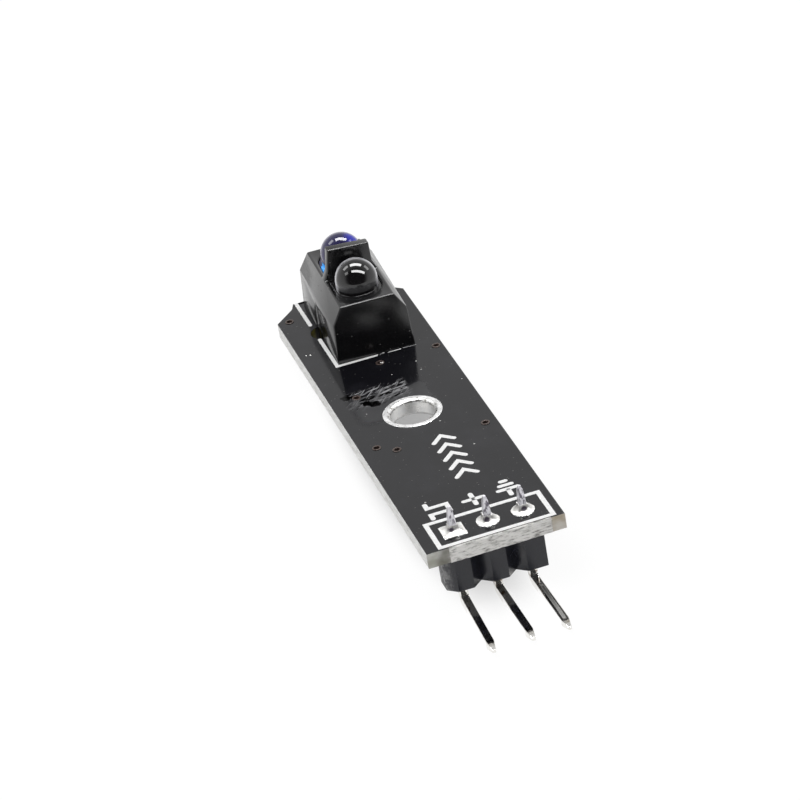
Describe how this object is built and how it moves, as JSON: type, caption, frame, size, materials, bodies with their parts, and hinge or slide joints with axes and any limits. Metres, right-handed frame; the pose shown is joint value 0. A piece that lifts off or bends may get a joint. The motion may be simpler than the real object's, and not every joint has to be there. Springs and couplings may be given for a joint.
{
  "type": "line tracking sensor module",
  "caption": "Narrow circuit board with a reflective infrared sensor standing at one end, a bent three-pin header under the other and a plated mounting hole between them.",
  "frame": {"origin": "on the axis of the mounting hole, in the board's underside", "axes": "+Z out of the side with the sensor, along the mounting hole's axis; +Y along the board, from the header to the sensor; +X across the board"},
  "size_m": [0.01, 0.0444, 0.0127],
  "materials": {
    "board_laminate": "semi-gloss black solder mask over glass laminate",
    "tinned_copper": "bright tinned",
    "via_copper": "dull copper",
    "header_plastic": "satin",
    "pin_metal": "bright plated",
    "solder": "bright",
    "housing_plastic": "fine satin",
    "emitter_resin": "clear blue, polished",
    "detector_resin": "near-black, polished",
    "lead_metal": "tinned",
    "chip_plastic": "matt",
    "resistor_ceramic": "glazed",
    "capacitor_ceramic": "unglazed",
    "lamp_resin": "translucent"
  },
  "bodies": {
    "root": {"circuit_board": "board_laminate", "mounting_hole_rings": "tinned_copper", "vias": "via_copper", "header_base": "header_plastic", "output_pin": "pin_metal", "supply_pin": "pin_metal", "ground_pin": "pin_metal", "header_pads": "tinned_copper", "header_solder": "solder", "sensor_housing": "housing_plastic", "emitter": "emitter_resin", "detector": "detector_resin", "emitter_leads": "lead_metal", "detector_leads": "lead_metal", "sensor_pads": "tinned_copper", "sensor_solder": "solder", "logic_chip": "chip_plastic", "logic_chip_legs": "lead_metal", "emitter_resistor": "resistor_ceramic", "detector_resistor": "resistor_ceramic", "lamp_resistor": "resistor_ceramic", "supply_capacitor": "capacitor_ceramic", "signal_lamp": "lamp_resin", "small_part_ends": "tinned_copper", "surface_lands": "tinned_copper", "surface_solder": "solder"}
  },
  "joints": []
}
